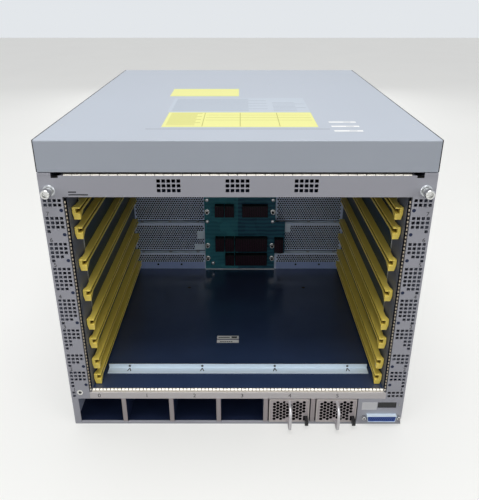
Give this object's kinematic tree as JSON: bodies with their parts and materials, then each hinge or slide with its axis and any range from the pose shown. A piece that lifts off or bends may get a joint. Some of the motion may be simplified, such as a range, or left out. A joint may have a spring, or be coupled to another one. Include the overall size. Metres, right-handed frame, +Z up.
{
  "type": "modular rack router chassis",
  "caption": "Rack-mount modular router chassis with an open card cage, yellow card guides, a midplane, slide-in power modules along the base and rear fan trays.",
  "frame": {"origin": "centre of the base pan's underside", "axes": "+X right as seen from the front, +Y towards the rear, +Z up"},
  "size_m": [0.4444, 0.602, 0.393],
  "materials": {
    "cover_paint": "powder coat, fine texture, pale blue-grey",
    "chassis_paint": "powder coat, fine texture, mid grey",
    "cage_steel": "dark satin coating",
    "finger_metal": "bright spring strip",
    "bare_aluminium": "bare rolled sheet",
    "plated_steel": "bright plating",
    "board_laminate": "dark green solder resist",
    "connector_plastic": "moulded black",
    "guide_nylon": "moulded yellow nylon",
    "module_steel": "warm grey plated sheet",
    "latch_plastic": "moulded black",
    "socket_plastic": "moulded blue",
    "inlet_plastic": "moulded black",
    "tray_paint": "powder coat, mid grey",
    "rotor_plastic": "moulded black"
  },
  "bodies": {
    "chassis": {"ac_inlets": "inlet_plastic", "air_panel_left_high": "bare_aluminium", "air_panel_left_low": "bare_aluminium", "air_panel_left_middle": "bare_aluminium", "air_panel_right_high": "bare_aluminium", "air_panel_right_low": "bare_aluminium", "air_panel_right_middle": "bare_aluminium", "alarm_port_insert": "socket_plastic", "alarm_port_shell": "plated_steel", "base_pan": "chassis_paint", "bay_dividers": "chassis_paint", "bay_header": "chassis_paint", "cage_ceiling": "cage_steel", "cage_floor": "cage_steel", "cage_side_left": "cage_steel", "cage_side_right": "cage_steel", "card_guide_left_1": "guide_nylon", "card_guide_left_2": "guide_nylon", "card_guide_left_3": "guide_nylon", "card_guide_left_4": "guide_nylon", "card_guide_left_5": "guide_nylon", "card_guide_left_6": "guide_nylon", "card_guide_left_7": "guide_nylon", "card_guide_left_8": "guide_nylon", "card_guide_right_1": "guide_nylon", "card_guide_right_2": "guide_nylon", "card_guide_right_3": "guide_nylon", "card_guide_right_4": "guide_nylon", "card_guide_right_5": "guide_nylon", "card_guide_right_6": "guide_nylon", "card_guide_right_7": "guide_nylon", "card_guide_right_8": "guide_nylon", "ear_left": "chassis_paint", "ear_right": "chassis_paint", "finger_strips": "finger_metal", "floor_strip": "bare_aluminium", "ground_jack": "plated_steel", "jack_screws": "plated_steel", "midplane_board": "board_laminate", "midplane_connectors": "connector_plastic", "midplane_pins": "plated_steel", "rear_frame": "chassis_paint", "service_panel": "chassis_paint", "side_panel_left": "chassis_paint", "side_panel_right": "chassis_paint", "top_bar": "chassis_paint", "top_cover": "cover_paint"},
    "power_left": {"power_left_case": "module_steel", "power_left_handle": "plated_steel"},
    "power_left_latch": {"power_left_latch": "latch_plastic"},
    "power_right": {"power_right_case": "module_steel", "power_right_handle": "plated_steel"},
    "power_right_latch": {"power_right_latch": "latch_plastic"},
    "fan_tray_left": {"fan_tray_left": "tray_paint"},
    "fan_rotor_left": {"fan_rotor_left": "rotor_plastic"},
    "thumbscrew_left": {"thumbscrew_left": "plated_steel"},
    "fan_tray_right": {"fan_tray_right": "tray_paint"},
    "fan_rotor_right": {"fan_rotor_right": "rotor_plastic"},
    "thumbscrew_right": {"thumbscrew_right": "plated_steel"}
  },
  "joints": [
    {"name": "power_left_slide", "type": "slide", "parent": "chassis", "child": "power_left", "axis": [0, -1, 0], "range_m": [0, 0.3]},
    {"name": "power_left_latch_press", "type": "hinge", "parent": "power_left", "child": "power_left_latch", "pos_m": [0.093, -0.271, 0.00985], "axis": [0, 0, -1], "range_deg": [0, 9], "stiffness_Nm_per_rad": 0.2, "springref_deg": -17.19},
    {"name": "power_right_slide", "type": "slide", "parent": "chassis", "child": "power_right", "axis": [0, -1, 0], "range_m": [0, 0.3]},
    {"name": "power_right_latch_press", "type": "hinge", "parent": "power_right", "child": "power_right_latch", "pos_m": [0.1565, -0.271, 0.00985], "axis": [0, 0, -1], "range_deg": [0, 9], "stiffness_Nm_per_rad": 0.2, "springref_deg": -17.19},
    {"name": "fan_tray_left_slide", "type": "slide", "parent": "chassis", "child": "fan_tray_left", "axis": [0, 1, 0], "range_m": [0, 0.1]},
    {"name": "fan_rotor_left_spin", "type": "hinge", "parent": "fan_tray_left", "child": "fan_rotor_left", "pos_m": [-0.09613, 0.2552, 0.19115], "axis": [0, 1, 0], "continuous": true},
    {"name": "thumbscrew_left_turn", "type": "hinge", "parent": "chassis", "child": "thumbscrew_left", "pos_m": [-0.21125, -0.285, 0.3356], "axis": [0, -1, 0], "continuous": true},
    {"name": "fan_tray_right_slide", "type": "slide", "parent": "chassis", "child": "fan_tray_right", "axis": [0, 1, 0], "range_m": [0, 0.1]},
    {"name": "fan_rotor_right_spin", "type": "hinge", "parent": "fan_tray_right", "child": "fan_rotor_right", "pos_m": [0.09613, 0.2552, 0.19115], "axis": [0, 1, 0], "continuous": true},
    {"name": "thumbscrew_right_turn", "type": "hinge", "parent": "chassis", "child": "thumbscrew_right", "pos_m": [0.21125, -0.285, 0.3356], "axis": [0, -1, 0], "continuous": true}
  ]
}
